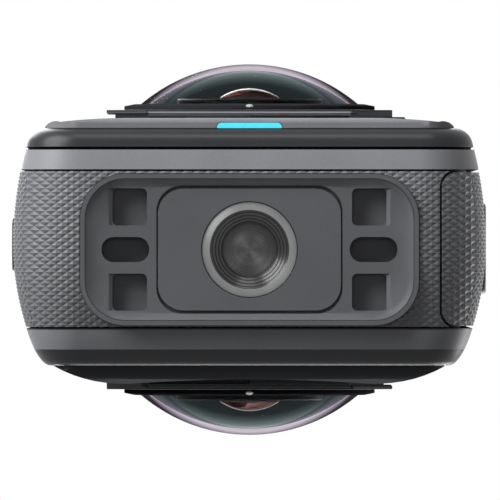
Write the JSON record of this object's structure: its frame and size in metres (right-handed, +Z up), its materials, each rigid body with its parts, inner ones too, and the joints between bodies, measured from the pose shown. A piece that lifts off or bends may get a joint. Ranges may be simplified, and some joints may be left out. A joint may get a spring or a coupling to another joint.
{
  "type": "360 degree camera",
  "caption": "Pocket 360 degree camera: slim upright body with textured grip, opposed domed fisheye lenses, touch screen, round shutter button, removable battery and tripod base mount.",
  "frame": {"origin": "middle of the base, on the plane the base mount's rim stands on", "axes": "+Z up along the body, -Y the screen side (front), +X to the viewer's right when facing the screen"},
  "size_m": [0.046, 0.037, 0.124],
  "materials": {
    "satin_panel": "satin",
    "dark_glass": "gloss",
    "graphite": "satin",
    "grip": "matte, textured",
    "black_rubber": "matte",
    "black_plastic": "matte",
    "gloss_black": "gloss",
    "light_window": "translucent, lit",
    "board": "satin",
    "chassis_metal": "satin",
    "battery_cell": "satin",
    "spring_steel": "satin",
    "bush_steel": "turned",
    "contact_brass": "polished",
    "clear_glass": "coated"
  },
  "bodies": {
    "root": {"front_panel": "satin_panel", "touch_glass": "dark_glass", "display_module": "board", "front_frame": "graphite", "front_gasket": "black_rubber", "mid_frame": "graphite", "grip_sleeve": "grip", "rear_gasket": "black_rubber", "rear_frame": "graphite", "rear_panel": "satin_panel", "inner_chassis": "chassis_metal", "main_board": "board", "processor_shield": "spring_steel", "rear_heat_plate": "chassis_metal", "heat_block": "chassis_metal", "sensor_boards": "board", "light_bar": "light_window", "light_board": "board", "front_key_board": "board", "side_key_board": "board", "battery_contacts": "contact_brass", "socket_door_pin": "spring_steel", "socket_board": "board", "usb_socket": "spring_steel", "card_socket": "spring_steel", "speaker": "black_plastic", "microphones": "spring_steel", "mount_frame": "graphite", "latch_plate": "graphite", "tripod_plate": "graphite", "tripod_bush": "bush_steel", "mount_magnets": "spring_steel", "mount_screws": "spring_steel", "housing_screws": "spring_steel", "front_lens_base": "black_plastic", "rear_lens_base": "black_plastic", "front_lens_barrel": "black_plastic", "rear_lens_barrel": "black_plastic", "front_inner_element": "clear_glass", "rear_inner_element": "clear_glass", "front_lens_group": "clear_glass", "rear_lens_group": "clear_glass"},
    "front_lens": {"front_lens_bezel": "gloss_black", "front_lens_dome": "clear_glass", "front_lens_seal": "black_rubber"},
    "rear_lens": {"rear_lens_bezel": "gloss_black", "rear_lens_dome": "clear_glass", "rear_lens_seal": "black_rubber"},
    "shutter_button": {"shutter_button": "graphite"},
    "lens_switch_button": {"lens_switch_button": "graphite"},
    "power_button": {"power_button": "graphite"},
    "quick_button": {"quick_button": "graphite"},
    "battery": {"battery_cover": "grip", "battery_plug": "graphite", "battery_pack": "battery_cell", "battery_seal": "black_rubber"},
    "battery_latch": {"battery_latch": "grip"},
    "socket_door": {"socket_door": "graphite", "socket_door_seal": "black_rubber"},
    "memory_card": {"memory_card": "black_plastic"}
  },
  "joints": [
    {"name": "front_lens_twist", "type": "hinge", "parent": "root", "child": "front_lens", "pos_m": [0, -0.014, 0.1015], "axis": [0, 1, 0], "range_deg": [0, 22.5]},
    {"name": "rear_lens_twist", "type": "hinge", "parent": "root", "child": "rear_lens", "pos_m": [0, 0.014, 0.1015], "axis": [0, -1, 0], "range_deg": [0, 22.5]},
    {"name": "shutter_press", "type": "slide", "parent": "root", "child": "shutter_button", "axis": [0, 1, 0], "range_m": [0, 0.0003], "stiffness_N_per_m": 4000, "springref_m": -0.0002},
    {"name": "lens_switch_press", "type": "slide", "parent": "root", "child": "lens_switch_button", "axis": [0, 1, 0], "range_m": [0, 0.0003], "stiffness_N_per_m": 4000, "springref_m": -0.0002},
    {"name": "power_press", "type": "slide", "parent": "root", "child": "power_button", "axis": [1, 0, 0], "range_m": [0, 0.00035], "stiffness_N_per_m": 4000, "springref_m": -0.0002},
    {"name": "quick_press", "type": "slide", "parent": "root", "child": "quick_button", "axis": [1, 0, 0], "range_m": [0, 0.00035], "stiffness_N_per_m": 4000, "springref_m": -0.0002},
    {"name": "battery_slide", "type": "slide", "parent": "root", "child": "battery", "axis": [1, 0, 0], "range_m": [0, 0.04]},
    {"name": "battery_latch_slide", "type": "slide", "parent": "battery", "child": "battery_latch", "axis": [0, 0, 1], "range_m": [0, 0.003], "stiffness_N_per_m": 200, "springref_m": -0.002},
    {"name": "socket_door_hinge", "type": "hinge", "parent": "root", "child": "socket_door", "pos_m": [-0.0219, 0.0036, 0.0741], "axis": [0, 0, -1], "range_deg": [0, 100]},
    {"name": "memory_card_press", "type": "slide", "parent": "root", "child": "memory_card", "axis": [1, 0, 0], "range_m": [0, 0.0008], "stiffness_N_per_m": 600, "springref_m": -0.001}
  ]
}
